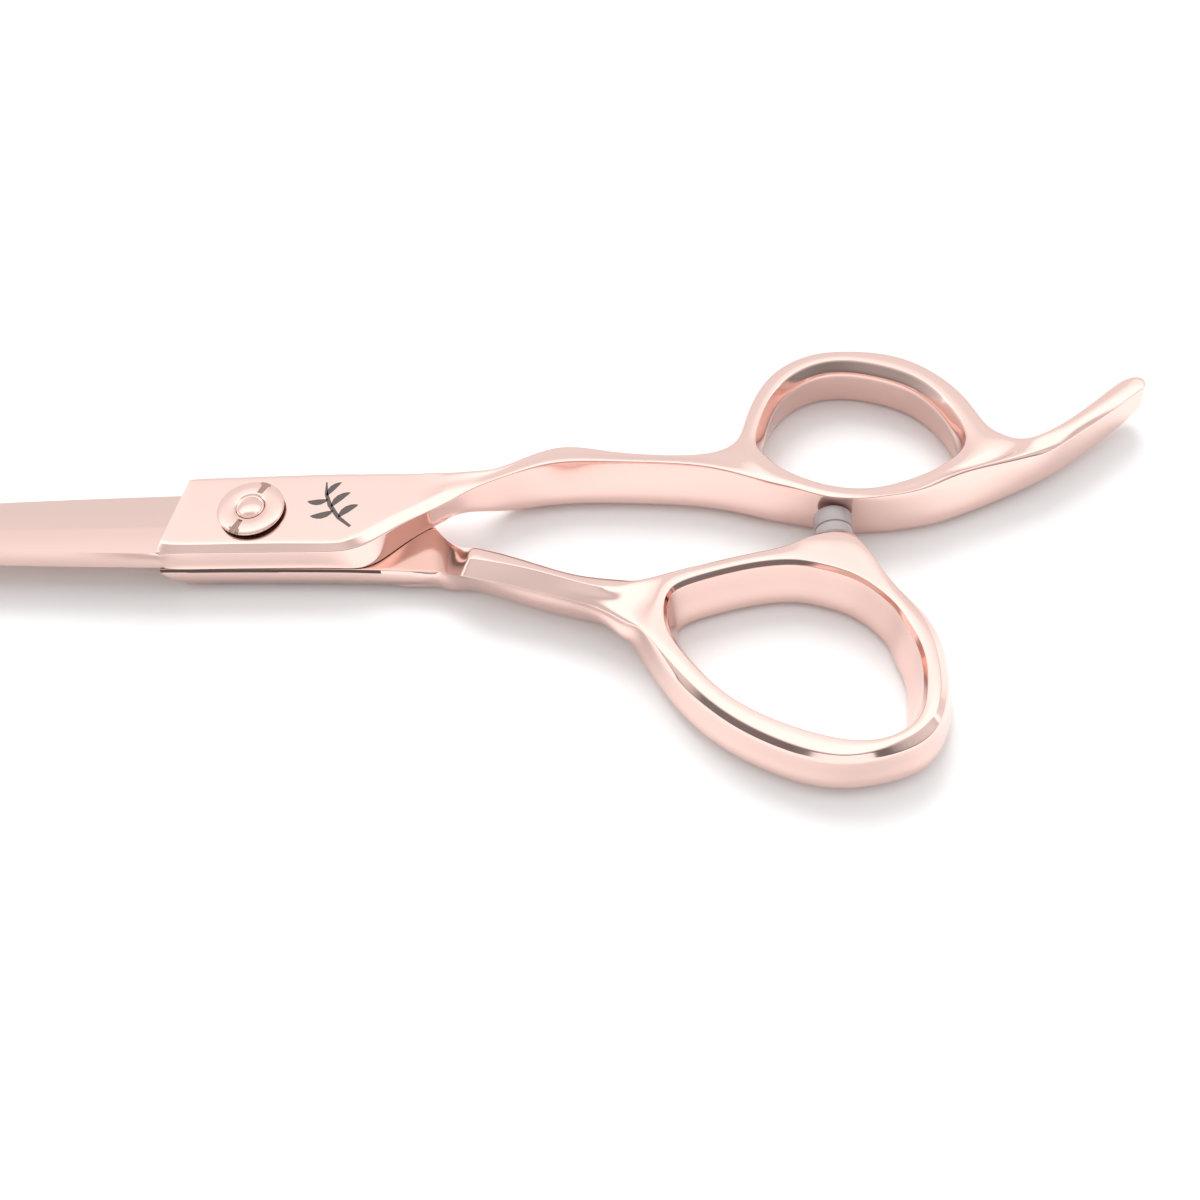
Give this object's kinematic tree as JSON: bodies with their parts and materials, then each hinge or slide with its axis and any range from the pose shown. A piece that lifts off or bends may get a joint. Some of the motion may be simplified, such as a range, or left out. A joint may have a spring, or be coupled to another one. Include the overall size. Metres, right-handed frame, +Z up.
{
  "type": "hair cutting shears",
  "caption": "Hair cutting shears: two pivoting blades on offset finger and thumb rings, with an integral tang, a tension dial and a silencer bumper.",
  "frame": {"origin": "on the pivot's axis, on the underside of the bolt's head, which is the plane the shears rest on", "axes": "+X from the pivot towards the handles, +Z up through the tension dial, +Y towards the finger ring; closed at rest"},
  "size_m": [0.1712, 0.0553, 0.0083],
  "materials": {
    "coated_steel": "mirror-polished steel with a rose-gold coating",
    "coated_hardware": "polished and turned steel with a rose-gold coating",
    "spring_steel": "satin",
    "bush_bronze": "satin",
    "glide_plastic": "matte",
    "bumper_plastic": "gloss"
  },
  "bodies": {
    "still_half": {"still_blade": "coated_steel", "finger_handle": "coated_steel", "pivot_bush": "bush_bronze", "click_washer": "spring_steel", "wave_washer": "spring_steel"},
    "moving_half": {"moving_blade": "coated_steel", "thumb_handle": "coated_steel", "pivot_bolt": "coated_hardware", "glide_washer": "glide_plastic", "bumper_pad": "bumper_plastic", "bumper_stud": "spring_steel"},
    "dial": {"tension_dial": "coated_hardware"}
  },
  "joints": [
    {"name": "shear_pivot", "type": "hinge", "parent": "still_half", "child": "moving_half", "pos_m": [0, 0, 0.0039], "axis": [0, 0, -1], "range_deg": [0, 90]},
    {"name": "dial_turn", "type": "hinge", "parent": "moving_half", "child": "dial", "pos_m": [0, 0, 0.0078], "axis": [0, 0, 1], "range_deg": [-90, 90]}
  ]
}
